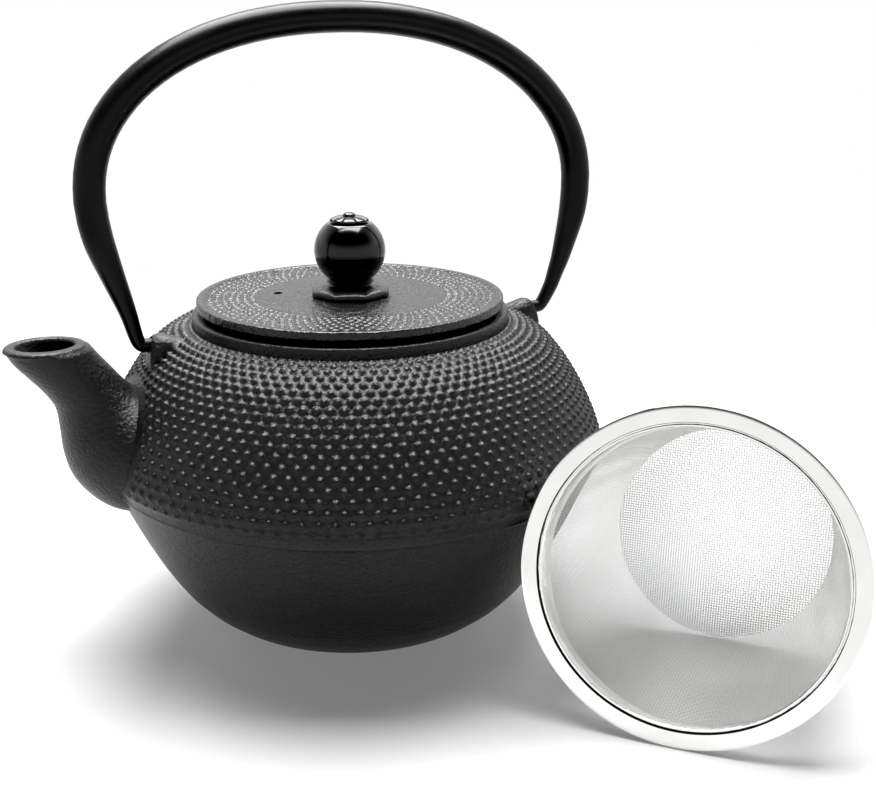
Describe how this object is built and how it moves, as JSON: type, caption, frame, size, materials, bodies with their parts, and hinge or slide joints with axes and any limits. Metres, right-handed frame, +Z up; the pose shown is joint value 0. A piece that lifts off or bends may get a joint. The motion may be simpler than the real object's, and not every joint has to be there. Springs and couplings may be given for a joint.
{
  "type": "cast iron teapot",
  "caption": "Round cast iron teapot with a hobnail shoulder, short spout, swinging bail handle, lift-off lid with a turned knob, and a mesh basket infuser beside it.",
  "frame": {"origin": "centre of the pot's flat base, on the floor", "axes": "+Z up; the spout points to -X; the handle turns about a line parallel to X through both lugs, above the origin; the infuser lies towards +X and -Y"},
  "size_m": [0.2405, 0.2296, 0.2009],
  "materials": {
    "body_iron": "matte black cast texture",
    "lid_iron": "satin dark grey cast texture",
    "handle_black": "satin black enamel",
    "knob_black": "gloss black enamel",
    "steel": "satin stainless",
    "mesh_steel": "fine woven stainless mesh"
  },
  "bodies": {
    "pot": {"pot_body": "body_iron"},
    "handle": {"handle": "handle_black"},
    "lid": {"lid": "lid_iron", "knob_base": "knob_black", "knob_ball": "knob_black", "knob_rosette": "knob_black", "knob_screw": "knob_black", "lid_washer": "steel", "lid_nut": "steel"},
    "infuser": {"infuser_rim": "steel", "infuser_band": "steel", "infuser_wall": "mesh_steel", "infuser_base": "mesh_steel"}
  },
  "joints": [
    {"name": "handle_swing", "type": "hinge", "parent": "pot", "child": "handle", "pos_m": [0, 0, 0.1002], "axis": [1, 0, 0], "range_deg": [-90, 90]},
    {"name": "lid_lift", "type": "slide", "parent": "pot", "child": "lid", "axis": [0, 0, 1], "range_m": [0, 0.05]},
    {"name": "infuser_slide", "type": "slide", "parent": "pot", "child": "infuser", "axis": [0.6827, -0.7307, 0], "range_m": [0, 0.12]}
  ]
}
